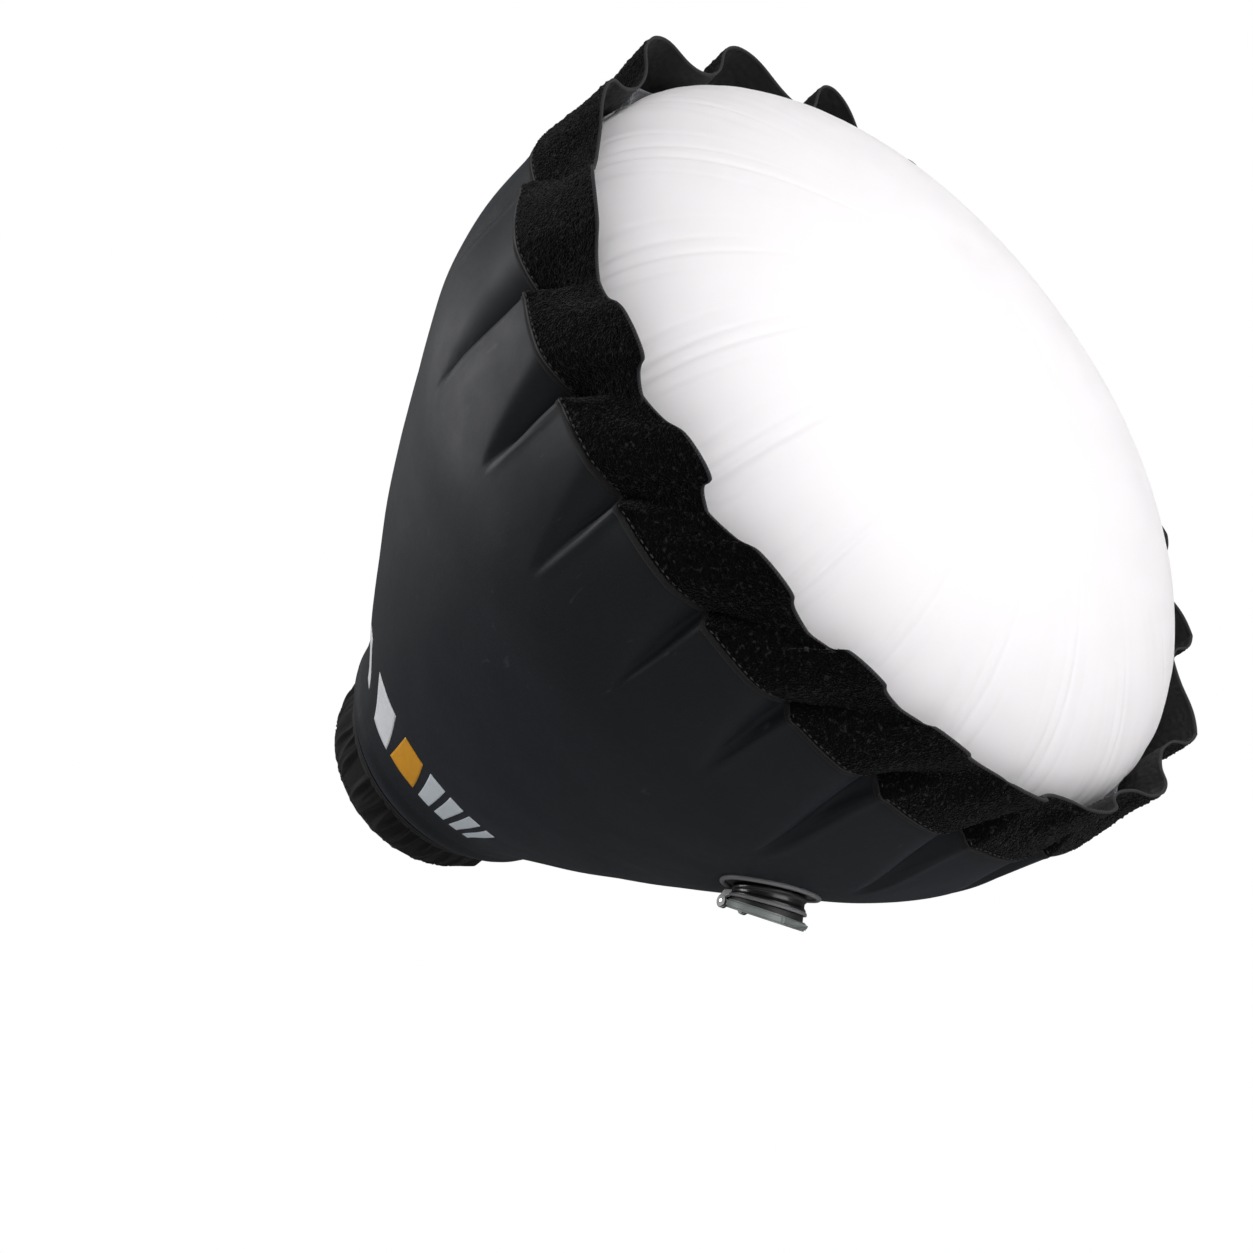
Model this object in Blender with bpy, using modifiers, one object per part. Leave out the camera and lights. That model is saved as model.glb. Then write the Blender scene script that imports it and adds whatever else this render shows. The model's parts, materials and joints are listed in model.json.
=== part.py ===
"""Inflatable light bank: a soft cone with a blown-up white front that pulls over a torch-shaped lamp head.

The row frame has its origin at the centre of the collar's rear opening. The light shines along -Y, +Z is up,
and the air valve is at the bottom. Metres throughout.

Two empties carry the parts. On "light_axis" the local +Z points forward, along the light, and the local Y is
the row's +Z. On "valve_axis" the local +Z points out of the shell, local X is the row's X, and local +Y points
along the shell towards the rim.
"""
import math

import bmesh
import bpy
from mathutils import Matrix, Vector

COLLECTION = "inflatable_light_bank"
CUTTERS = "cutters"

# Driving dimensions of the light bank. Stations are distances forward of the collar's rear opening.
RIM_RADIUS = 0.250
SHOULDER = 0.045
SHELL_LENGTH = 0.385
# The blown-up cone: distance forward of the shoulder seam, and outer radius.
SHELL_OUTLINE = (
    (0.000, 0.0835), (0.019, 0.0950), (0.046, 0.1070), (0.096, 0.1370),
    (0.173, 0.1810), (0.250, 0.2190), (0.316, 0.2465), (SHELL_LENGTH, RIM_RADIUS),
)
SHELL_THICKNESS = 0.0010
LINING_THICKNESS = 0.0005
GAP = 0.0003

DOME_FOOT_RADIUS = 0.2373
DOME_FOOT_STATION = 0.4495
DOME_HEIGHT = 0.108
DOME_THICKNESS = 0.0008

WAVES = 24
WAVE_HEIGHT = 0.0125
VALLEY_ANGLE = math.radians(11.0)  # from straight down, towards -X
BAND_REAR, BAND_FRONT = 0.4308, 0.4903
BAND_THICKNESS = 0.0015

CUFF_REAR_RADIUS = 0.0720
CUFF_FRONT_RADIUS = 0.0820
CUFF_THICKNESS = 0.0010
HEM_RADIUS = 0.0042
ELASTIC_RADIUS = 0.0024
WINDOW_OPENING = 0.052

# Driving dimensions of the valve. Heights are above the shell along the valve's own axis.
VALVE_STATION = 0.318
VALVE_RADIAL = 0.2303
VALVE_TILT = math.radians(24.0)
SHELL_HOLE = 0.0212
BORE = 0.0128
PIN_BACK = 0.0265
PIN_HEIGHT = 0.0085
PIN_RADIUS = 0.0015
CAP_RADIUS = 0.0224
CAP_UNDERSIDE, CAP_TOP = 0.0126, 0.0176
TWIST = math.radians(60.0)

RING_STEPS = 40
VALVE_STEPS = 24
SHARP = math.radians(35)

COLOURS = {  # colour, roughness, metallic
    "shell": ((0.020, 0.021, 0.024), 0.72, 0.0),
    "silver_film": ((0.72, 0.73, 0.74), 0.28, 0.9),
    "diffuser": ((0.88, 0.88, 0.87), 0.45, 0.0),
    "clear_film": ((0.62, 0.65, 0.67), 0.20, 0.0),
    "loop_tape": ((0.012, 0.012, 0.013), 0.95, 0.0),
    "binding": ((0.018, 0.018, 0.020), 0.80, 0.0),
    "elastic": ((0.022, 0.022, 0.024), 0.85, 0.0),
    "silicone": ((0.030, 0.030, 0.032), 0.60, 0.0),
    "hoop": ((0.030, 0.030, 0.032), 0.45, 0.0),
    "valve_black": ((0.012, 0.012, 0.013), 0.38, 0.0),
    "valve_cap": ((0.205, 0.215, 0.195), 0.48, 0.0),
    "steel": ((0.62, 0.62, 0.61), 0.25, 1.0),
}


def clear_scene():
    for obj in list(bpy.data.objects):
        bpy.data.objects.remove(obj, do_unlink=True)


def new_collection(name):
    collection = bpy.data.collections.new(name)
    bpy.context.scene.collection.children.link(collection)
    return collection


def material(slot):
    made = bpy.data.materials.get(slot)
    if made is None:
        colour, roughness, metallic = COLOURS[slot]
        made = bpy.data.materials.new(slot)
        made.use_nodes = True
        shader = made.node_tree.nodes["Principled BSDF"]
        shader.inputs["Base Color"].default_value = (*colour, 1.0)
        shader.inputs["Roughness"].default_value = roughness
        shader.inputs["Metallic"].default_value = metallic
        made.diffuse_color = (*colour, 1.0)
    return made


def add_empty(name, location, rotation, parent=None):
    empty = bpy.data.objects.new(name, None)
    empty.parent = parent
    empty.empty_display_size = 0.03
    empty.location = location
    empty.rotation_euler = rotation
    parts.objects.link(empty)
    return empty


def add_object(name, mesh, slot, parent):
    """Link a mesh as a named part, or as a wire-drawn cutter when it has no material slot."""
    obj = bpy.data.objects.new(name, mesh)
    obj.parent = parent
    if slot:
        obj.data.materials.append(material(slot))
        parts.objects.link(obj)
    else:
        obj.hide_render = True
        obj.display_type = "WIRE"
        cutters.objects.link(obj)
    return obj


def mesh_from(name, build):
    """Run a bmesh recipe and return the mesh it makes."""
    made = bmesh.new()
    build(made)
    mesh = bpy.data.meshes.new(name)
    made.to_mesh(mesh)
    made.free()
    return mesh


def smooth(obj):
    obj.data.shade_smooth()
    obj.data.set_sharp_from_angle(angle=SHARP)
    return obj


# ---- shapes ---------------------------------------------------------------------------------------------------

def turned(name, slot, outline, parent, steps=RING_STEPS, closed=True, thickness=None):
    """Turn an outline of (radius, height) points about local Z. It runs down the outer side first.

    A closed outline is a solid ring. An open one is a surface, which Solidify thickens inwards.
    """
    def build(made):
        verts = [made.verts.new((radius, 0.0, height)) for radius, height in outline]
        for low, high in zip(verts, verts[1:]):
            made.edges.new((low, high))
        if closed:
            made.edges.new((verts[-1], verts[0]))

    obj = add_object(name, mesh_from(name, build), slot, parent)
    screw = obj.modifiers.new("turn", "SCREW")
    screw.axis = "Z"
    screw.angle = math.tau
    screw.steps = steps
    screw.render_steps = steps
    screw.use_merge_vertices = True
    screw.merge_threshold = 0.00001
    screw.use_smooth_shade = True
    if thickness:
        solid = obj.modifiers.new("thickness", "SOLIDIFY")
        solid.thickness = thickness
        solid.offset = -1.0
    return obj


def ring_outline(inner, outer, low, high):
    return ((outer, high), (outer, low), (inner, low), (inner, high))


def bead_outline(radius, height, bead_radius, sides=6):
    """The round section of a cord or seal that runs in a ring."""
    turns = [-math.tau * side / sides for side in range(sides)]
    return [(radius + bead_radius * math.cos(turn), height + bead_radius * math.sin(turn)) for turn in turns]


def disc_outline(radius, low, high):
    return ((0.0, high), (radius, high), (radius, low), (0.0, low))


def cylinder(name, slot, radius, length, parent, axis="Z", centre=(0, 0, 0), steps=VALVE_STEPS):
    turn = {"X": Matrix.Rotation(math.pi / 2, 4, "Y"), "Z": Matrix.Identity(4)}[axis]

    def build(made):
        bmesh.ops.create_cone(
            made, cap_ends=True, segments=steps, radius1=radius, radius2=radius, depth=length,
            matrix=Matrix.Translation(Vector(centre)) @ turn,
        )

    return smooth(add_object(name, mesh_from(name, build), slot, parent))


def box(name, slot, size, centre, parent, turn=0.0):
    """A box placed at a centre and then swung about local Z."""
    place = Matrix.Rotation(turn, 4, "Z") @ Matrix.Translation(Vector(centre))

    def build(made):
        bmesh.ops.create_cube(made, size=1.0, matrix=place @ Matrix.Diagonal((*size, 1.0)))

    return add_object(name, mesh_from(name, build), slot, parent)


def side_plate(name, slot, outline, width, parent, across=0.0):
    """A flat outline of (along, height) points in the valve's Y-Z plane, given its width along X."""
    curve = bpy.data.curves.new(name, "CURVE")
    curve.dimensions = "2D"
    curve.fill_mode = "BOTH"
    curve.extrude = width / 2
    spline = curve.splines.new("POLY")
    spline.points.add(len(outline) - 1)
    for point, (along, height) in zip(spline.points, outline):
        point.co = (along, height, 0.0, 1.0)
    spline.use_cyclic_u = True
    guide = bpy.data.objects.new(name + "_outline", curve)
    parts.objects.link(guide)
    # The curve's X, Y and Z become the valve's Y, Z and X.
    turn = Matrix(((0, 0, 1, across), (1, 0, 0, 0), (0, 1, 0, 0), (0, 0, 0, 1)))
    mesh = bpy.data.meshes.new_from_object(guide.evaluated_get(bpy.context.evaluated_depsgraph_get()))
    bpy.data.objects.remove(guide)
    made = bmesh.new()
    made.from_mesh(mesh)
    bmesh.ops.remove_doubles(made, verts=made.verts, dist=0.00001)
    bmesh.ops.transform(made, matrix=turn, verts=made.verts)
    bmesh.ops.recalc_face_normals(made, faces=made.faces)
    made.to_mesh(mesh)
    made.free()
    return add_object(name, mesh, slot, parent)


def join(obj, operation, *tools):
    """Cut the tools out of an object, or unite them with it."""
    for tool in tools:
        boolean = obj.modifiers.new(tool.name, "BOOLEAN")
        boolean.operation = operation
        boolean.solver = "EXACT"
        boolean.object = tool
    return obj


# ---- the chamber ----------------------------------------------------------------------------------------------

def spline_through(points, samples):
    """Even samples of a smooth curve through a few points, with slopes taken from each point's neighbours."""
    slopes = []
    for index in range(len(points)):
        low = points[max(index - 1, 0)]
        high = points[min(index + 1, len(points) - 1)]
        slopes.append((high[1] - low[1]) / (high[0] - low[0]))
    made = []
    for step in range(samples):
        at = points[0][0] + (points[-1][0] - points[0][0]) * step / (samples - 1)
        index = max(i for i in range(len(points) - 1) if points[i][0] <= at + 1e-9)
        (x0, y0), (x1, y1) = points[index], points[index + 1]
        span = x1 - x0
        t = (at - x0) / span
        made.append((
            at,
            (2 * t**3 - 3 * t**2 + 1) * y0 + (t**3 - 2 * t**2 + t) * span * slopes[index]
            + (3 * t**2 - 2 * t**3) * y1 + (t**3 - t**2) * span * slopes[index + 1],
        ))
    return made


def moved_inwards(outline, distance):
    """An outline of (radius, height) points, each moved towards the axis side of its run."""
    moved = []
    for index, (radius, height) in enumerate(outline):
        before = outline[max(index - 1, 0)]
        after = outline[min(index + 1, len(outline) - 1)]
        run = Vector((after[0] - before[0], after[1] - before[1])).normalized()
        moved.append((radius + run.y * distance, height - run.x * distance))
    return moved


def shell_outline():
    """The shell's outer side from the rim down to the shoulder, as (radius, station)."""
    samples = spline_through(SHELL_OUTLINE, 9)
    return [(radius, SHOULDER + along) for along, radius in reversed(samples)]


def make_chamber(axis, valve):
    outline = shell_outline()
    shell = turned("rear_shell", "shell", outline, axis, closed=False, thickness=SHELL_THICKNESS)
    lining_outline = moved_inwards(outline, SHELL_THICKNESS + GAP)[1:-1]
    lining = turned("reflective_lining", "silver_film", lining_outline, axis,
                    closed=False, thickness=LINING_THICKNESS)
    hole = cylinder("shell_hole", None, SHELL_HOLE, 0.03, valve)
    join(shell, "DIFFERENCE", hole)
    join(lining, "DIFFERENCE", hole)

    dome = [(0.0, DOME_FOOT_STATION + DOME_HEIGHT)]
    for step in range(1, 7):
        angle = math.pi / 2 * (1 - step / 6)
        dome.append((DOME_FOOT_RADIUS * math.cos(angle), DOME_FOOT_STATION + DOME_HEIGHT * math.sin(angle)))
    dome += [(0.2440, 0.4400), (0.2478, 0.4308)]
    turned("front_diffuser", "diffuser", dome, axis, closed=False, thickness=DOME_THICKNESS)

    turned("rim_weld_flange", "clear_film", (
        (0.2480, 0.4478), (0.2459, 0.4404), (0.2451, 0.4406), (0.2472, 0.4480),
    ), axis)
    turned("rim_binding", "binding", ring_outline(RIM_RADIUS + GAP, RIM_RADIUS + 0.0014, 0.4220, 0.4302), axis)
    make_loop_band(axis)


def make_loop_band(axis):
    """The ruffled tape: a tube whose rings are pushed in and out in waves that grow towards the front.

    Taking the valley angle off each vertex's own angle puts a vertex in every valley and on every crest.
    """
    rows, segments = 3, WAVES * 4

    def build(made):
        bmesh.ops.create_cone(made, cap_ends=False, segments=segments, radius1=1.0, radius2=1.0, depth=1.0)
        uprights = [edge for edge in made.edges if abs(edge.verts[0].co.z - edge.verts[1].co.z) > 0.5]
        bmesh.ops.subdivide_edges(made, edges=uprights, cuts=rows - 1, use_grid_fill=True)
        for vert in made.verts:
            forward = vert.co.z + 0.5
            angle = math.atan2(vert.co.y, vert.co.x) - VALLEY_ANGLE
            from_bottom = -math.pi / 2 - angle
            wave = math.cos(WAVES * (from_bottom - VALLEY_ANGLE))
            mean = RIM_RADIUS + 0.0042 - 0.0030 * forward
            radius = mean - WAVE_HEIGHT * forward**1.1 * wave
            station = BAND_REAR + (BAND_FRONT - BAND_REAR) * forward
            vert.co = (radius * math.cos(angle), radius * math.sin(angle), station)
        bmesh.ops.recalc_face_normals(made, faces=made.faces)

    band = add_object("loop_band", mesh_from("loop_band", build), "loop_tape", axis)
    solid = band.modifiers.new("thickness", "SOLIDIFY")
    solid.thickness = BAND_THICKNESS
    solid.offset = -1.0
    band.data.shade_smooth()


# ---- the collar -----------------------------------------------------------------------------------------------

def cuff_radius(station):
    """The collar's outer radius between its hem and the shoulder seam."""
    share = (station - HEM_RADIUS) / (SHOULDER - HEM_RADIUS)
    return CUFF_REAR_RADIUS + (CUFF_FRONT_RADIUS - CUFF_REAR_RADIUS) * share**0.45


def make_collar(axis):
    front = SHOULDER - 0.0006
    wall = []
    for step in range(5):
        station = front + (HEM_RADIUS - front) * step / 4
        wall.append((cuff_radius(station), station))
    # The hem is the same cloth, rolled in round the elastic and stitched down short of a full turn.
    centre_radius = CUFF_REAR_RADIUS - HEM_RADIUS
    for step in range(1, 7):
        angle = -math.radians(45 * step)
        wall.append((centre_radius + HEM_RADIUS * math.cos(angle), HEM_RADIUS + HEM_RADIUS * math.sin(angle)))
    turned("neck_cuff", "elastic", wall, axis, closed=False, thickness=CUFF_THICKNESS)

    turned("cuff_elastic", "silicone", bead_outline(centre_radius, HEM_RADIUS, ELASTIC_RADIUS), axis)

    inside = CUFF_THICKNESS + GAP
    low, high = 0.0150, 0.0260
    turned("cuff_grip_band", "silicone", (
        (cuff_radius(high) - inside - 0.0004, high), (cuff_radius(low) - inside - 0.0004, low),
        (cuff_radius(low) - inside - 0.0016, low), (cuff_radius(high) - inside - 0.0016, high),
    ), axis)
    turned("shoulder_binding", "binding", (
        (0.0852, 0.0445), (0.0838, 0.0390), (0.0823, 0.0390), (0.0826, 0.0445),
    ), axis)
    turned("window_ring", "hoop", ring_outline(WINDOW_OPENING, 0.0780, 0.0400, 0.0430), axis)
    turned("rear_window", "clear_film", disc_outline(0.0800, 0.0433, 0.0441), axis)


# ---- the valve ------------------------------------------------------------------------------------------------

def make_valve_seat(valve):
    turned("valve_flange", "clear_film", (
        (0.0300, 0.0014), (0.0300, 0.0004), (0.0206, 0.0004), (0.0206, -0.0085),
        (0.0190, -0.0085), (0.0190, 0.0014),
    ), valve, VALVE_STEPS)

    housing = turned("valve_housing", "valve_black", (
        (0.0202, 0.0090), (0.0208, 0.0084), (0.0208, 0.0019), (0.0187, 0.0019), (0.0187, -0.0060),
        (BORE, -0.0060), (BORE, 0.0062), (0.0165, 0.0062), (0.0165, 0.0090),
    ), valve, VALVE_STEPS)
    ear_outline = (
        (-0.0302, 0.0040), (-0.0190, 0.0030), (-0.0190, 0.0085), (-0.0232, 0.0110),
        (-0.0250, 0.0121), (-0.0280, 0.0121), (-0.0302, 0.0100),
    )
    for side, across in (("left", -0.0080), ("right", 0.0080)):
        ear = side_plate("ear_" + side, None, ear_outline, 0.0030, valve, across)
        join(housing, "UNION", ear)
    slot = box("bayonet_slots", None, (0.0296, 0.0060, 0.0135), (0, 0, 0.0002), valve)
    pin_hole = cylinder("ear_hole", None, PIN_RADIUS + GAP, 0.03, valve, "X", (0, -PIN_BACK, PIN_HEIGHT), 16)
    join(housing, "DIFFERENCE", slot, pin_hole)
    cylinder("cap_hinge_pin", "steel", PIN_RADIUS, 0.0190, valve, "X", (0, -PIN_BACK, PIN_HEIGHT), 16)


def make_core(valve):
    """The bayonet insert: a turned barrel with a web across it, two lugs below and two finger tabs on top."""
    core = turned("valve_core", "valve_black", (
        (0.0160, 0.0086), (0.0160, 0.0066), (0.0124, 0.0066), (0.0124, 0.0032), (0.0107, 0.0032),
        (0.0107, 0.0010), (0.0124, 0.0010), (0.0124, -0.0078), (0.0095, -0.0078), (0.0095, -0.0038),
        (0.0029, -0.0038), (0.0029, 0.0002), (0.0042, 0.0002), (0.0042, -0.0022), (0.0095, -0.0022),
        (0.0095, 0.0086),
    ), valve, VALVE_STEPS)
    for side in (-1, 1):
        lug = box(f"core_lug_{side}", None, (0.0040, 0.0048, 0.0014), (side * 0.0126, 0, -0.0071), valve, -TWIST)
        tab = box(f"core_tab_{side}", None, (0.0022, 0.0080, 0.0038), (side * 0.0122, 0, 0.0101), valve, -TWIST)
        join(core, "UNION", lug, tab)
    for step in range(3):
        angle = -TWIST + step * math.tau / 3
        centre = (0.0068 * math.cos(angle), 0.0068 * math.sin(angle), -0.0030)
        join(core, "DIFFERENCE", cylinder(f"core_port_{step}", None, 0.0019, 0.006, valve, "Z", centre, 12))

    turned("core_o_ring", "silicone", bead_outline(0.01175, 0.0021, 0.0007), valve, VALVE_STEPS)


def make_stem(valve):
    """The push stem with its spring above the web, and the one-way disc and its clip below."""
    turned("valve_stem", "valve_black", (
        (0.0, 0.0062), (0.0050, 0.0062), (0.0056, 0.0056), (0.0056, 0.0046), (0.0024, 0.0046),
        (0.0024, -0.0056), (0.0017, -0.0056), (0.0017, -0.0064), (0.0024, -0.0064), (0.0024, -0.0074),
        (0.0, -0.0074),
    ), valve, 16, closed=False)
    turned("valve_diaphragm", "silicone", ring_outline(0.0027, 0.0090, -0.0052, -0.0041), valve, VALVE_STEPS)
    clip = turned("stem_retainer", "steel", ring_outline(0.0020, 0.0044, -0.0062, -0.0058), valve, 16)
    join(clip, "DIFFERENCE", box("clip_mouth", None, (0.004, 0.0026, 0.002), (0.0038, 0, -0.0060), valve))

    turns, low, high, radius = 4.5, -0.0016, 0.0040, 0.0050
    curve = bpy.data.curves.new("stem_spring", "CURVE")
    curve.dimensions = "3D"
    curve.bevel_depth = 0.00035
    curve.bevel_resolution = 1
    curve.use_fill_caps = True
    spline = curve.splines.new("POLY")
    count = int(turns * 12) + 1
    spline.points.add(count - 1)
    for index, point in enumerate(spline.points):
        share = index / (count - 1)
        angle = math.tau * turns * share
        point.co = (radius * math.cos(angle), radius * math.sin(angle), low + (high - low) * share, 1.0)
    add_object("stem_spring", curve, "steel", valve)


def make_cap(valve):
    """The cap hangs on its pin by a squared arm, and has a pull tab on the side towards the rim.

    Its outlines are in the valve's frame. Its parent empty is on the pin, which it turns about.
    """
    cap = turned("valve_cap", "valve_cap", (
        (0.0, CAP_TOP), (0.0120, CAP_TOP - 0.0001), (0.0182, CAP_TOP - 0.0006), (0.0214, CAP_TOP - 0.0018),
        (CAP_RADIUS, CAP_TOP - 0.0034), (CAP_RADIUS, CAP_UNDERSIDE), (0.0, CAP_UNDERSIDE),
    ), valve, VALVE_STEPS, closed=False)
    arm_outline = (
        (-0.0305, 0.0062), (-0.0282, 0.0048), (-0.0248, 0.0048), (-0.0228, 0.0085), (-0.0228, 0.0128),
        (-0.0180, 0.0128), (-0.0180, 0.0170), (-0.0268, 0.0165), (-0.0305, 0.0135),
    )
    arm = side_plate("cap_arm", None, arm_outline, 0.0124, valve)
    tab_outline = (
        (0.0180, 0.0131), (0.0305, 0.0148), (0.0310, 0.0166), (0.0295, 0.0176), (0.0180, 0.0172),
    )
    tab = side_plate("cap_tab", None, tab_outline, 0.0150, valve)
    join(cap, "UNION", arm, tab)
    pin_hole = cylinder("cap_hole", None, PIN_RADIUS + GAP, 0.03, valve, "X", (0, -PIN_BACK, PIN_HEIGHT), 16)
    join(cap, "DIFFERENCE", pin_hole)
    gasket_outline = ring_outline(0.0145, 0.0200, 0.0093, 0.0123)
    gasket = turned("cap_gasket", "silicone", gasket_outline, valve, VALVE_STEPS)

    hinge = add_empty("cap_hinge", (0, -PIN_BACK, PIN_HEIGHT), (0, 0, 0), valve)
    for piece in (cap, arm, tab, pin_hole, gasket):
        piece.parent = hinge
        piece.location = (0, PIN_BACK, -PIN_HEIGHT)


clear_scene()
parts = new_collection(COLLECTION)
cutters = new_collection(CUTTERS)
light_axis = add_empty("light_axis", (0, 0, 0), (math.pi / 2, 0, 0))
valve_axis = add_empty("valve_axis", (0, -VALVE_STATION, -VALVE_RADIAL), (math.pi + VALVE_TILT, 0, 0))
make_chamber(light_axis, valve_axis)
make_collar(light_axis)
make_valve_seat(valve_axis)
make_core(valve_axis)
make_stem(valve_axis)
make_cap(valve_axis)
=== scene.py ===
"""The looks of the inflatable light bank: cloth, ruffle, dome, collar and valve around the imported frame."""
import json
import math

import bmesh
import bpy
import numpy as np
from mathutils import Matrix, Vector, noise


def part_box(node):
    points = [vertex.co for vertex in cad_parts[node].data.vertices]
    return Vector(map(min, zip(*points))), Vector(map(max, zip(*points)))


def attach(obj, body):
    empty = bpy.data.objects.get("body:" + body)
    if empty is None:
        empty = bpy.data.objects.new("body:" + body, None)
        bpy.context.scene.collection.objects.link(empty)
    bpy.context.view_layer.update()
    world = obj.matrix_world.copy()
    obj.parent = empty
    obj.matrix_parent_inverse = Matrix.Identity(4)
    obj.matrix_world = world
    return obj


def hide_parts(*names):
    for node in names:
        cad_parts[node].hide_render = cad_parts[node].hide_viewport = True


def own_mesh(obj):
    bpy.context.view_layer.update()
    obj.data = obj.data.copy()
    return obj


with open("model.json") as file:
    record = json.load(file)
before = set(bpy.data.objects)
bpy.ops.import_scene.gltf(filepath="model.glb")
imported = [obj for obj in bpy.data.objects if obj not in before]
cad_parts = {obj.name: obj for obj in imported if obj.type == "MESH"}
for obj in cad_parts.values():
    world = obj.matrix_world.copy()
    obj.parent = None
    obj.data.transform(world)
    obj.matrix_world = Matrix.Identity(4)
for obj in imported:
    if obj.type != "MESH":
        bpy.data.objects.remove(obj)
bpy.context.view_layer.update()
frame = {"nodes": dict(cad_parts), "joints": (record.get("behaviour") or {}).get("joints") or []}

# ---- sizes, in metres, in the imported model's frame. A station is a distance forward of the collar's opening ----
SHOULDER = -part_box("rear_shell")[1].y
RIM = -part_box("rear_shell")[0].y
SHELL_LENGTH = RIM - SHOULDER
RIM_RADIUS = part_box("rear_shell")[1].z
# The blown-up cone: distance forward of the shoulder seam, and outer radius, as the frame has it.
SHELL_OUTLINE = (
    (0.000, 0.0835), (0.019, 0.0950), (0.046, 0.1070), (0.096, 0.1370),
    (0.173, 0.1810), (0.250, 0.2190), (0.316, 0.2465), (SHELL_LENGTH, RIM_RADIUS),
)
# Angles are in degrees round the light's axis, from straight down towards -X.
CREASE_ANGLES = (
    -3.0, 13.0, 27.5, 41.0, 56.5, 70.0, 85.0, 104.5, 124.0, 145.0,
    168.0, 187.0, 203.0, 219.0, 237.0, 255.0, 273.0, 293.0, 318.0, 339.0,
)
WAVES = len(CREASE_ANGLES)
FOLD_DEPTH = 0.0110      # how far a crease is pinched in at the rim seam
FOLD_LENGTH = 0.070      # how far a crease runs back from the rim seam
FOLD_ROLL = 0.40         # the share of a wave over which the cloth rolls in to a crease, on its upper side
FOLD_STEP = 0.050        # and on its lower side, where it stands up as a ridge
SEAM_DRIFT = 0.0095      # how far forward of the rest the rim seam strays, low down on the -X side

BAND_WIDTH = 0.0590
BAND_VALLEY_RADIUS = 0.2360
BAND_WAVE = 0.0070       # half the height of the free edge's waves on the -X side
BAND_LOOSER = 0.0185     # and how much more that is where the ruffle is loosest
LOOSE_ANGLE = -148.0
BAND_SKEW = 8.0          # how far round its folds slant from the seam to the free edge, on the -X side

DOME_FOOT_RADIUS = 0.2373
DOME_FOOT = 0.4495
DOME_HEIGHT = -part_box("front_diffuser")[0].y - DOME_FOOT
DOME_SKIRT = ((RIM + 0.0012, 0.2462), (RIM + 0.0090, 0.2448), (RIM + 0.0145, 0.2420))  # station, radius

CUFF_REAR_RADIUS = 0.0720
CUFF_FRONT_RADIUS = 0.0820
HEM_RADIUS = 0.0042
STITCH_THICKNESS = 0.00045

CAMERA_PLACE = (-0.6121, -0.8264, -0.6107)
CAMERA_AZIMUTH = math.radians(-45.84)   # turned from looking along +Y
CAMERA_ELEVATION = math.radians(35.46)  # looking up
CAMERA_ROLL = math.radians(-6.31)
CAMERA_LENS = 45.97

joints = {joint["name"]: joint for joint in frame["joints"]}
VALVE_PLACE = Vector(joints["core_twist"]["pos_m"])
VALVE_OUT = Vector(joints["core_twist"]["axis"]).normalized()
VALVE_SIDE = Vector((1, 0, 0))
VALVE_ALONG = VALVE_OUT.cross(VALVE_SIDE)
VALVE_TURN = Matrix((VALVE_SIDE, VALVE_ALONG, VALVE_OUT)).transposed()
VALVE_FRAME = Matrix.Translation(VALVE_PLACE) @ VALVE_TURN.to_4x4()
BODY_SLOPE = 0.13        # how much the valve's mouth leans
CAP_RISE = 0.0120        # how far the cap rises from hinge to tab
CAP_BOTTOM, CAP_TOP = 0.0114, 0.0162
CAP_HOLLOW_RADIUS, CAP_HOLLOW_TOP = 0.0164, 0.0151
SEAL_DEPTH = 0.0030
VALVE_RINGS = 72         # how many steps a turned piece of the valve has
HINGE_LOCAL = VALVE_FRAME.inverted() @ Vector(joints["cap_hinge"]["pos_m"])


# ---- node materials ---------------------------------------------------------------------------------------------

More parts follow.
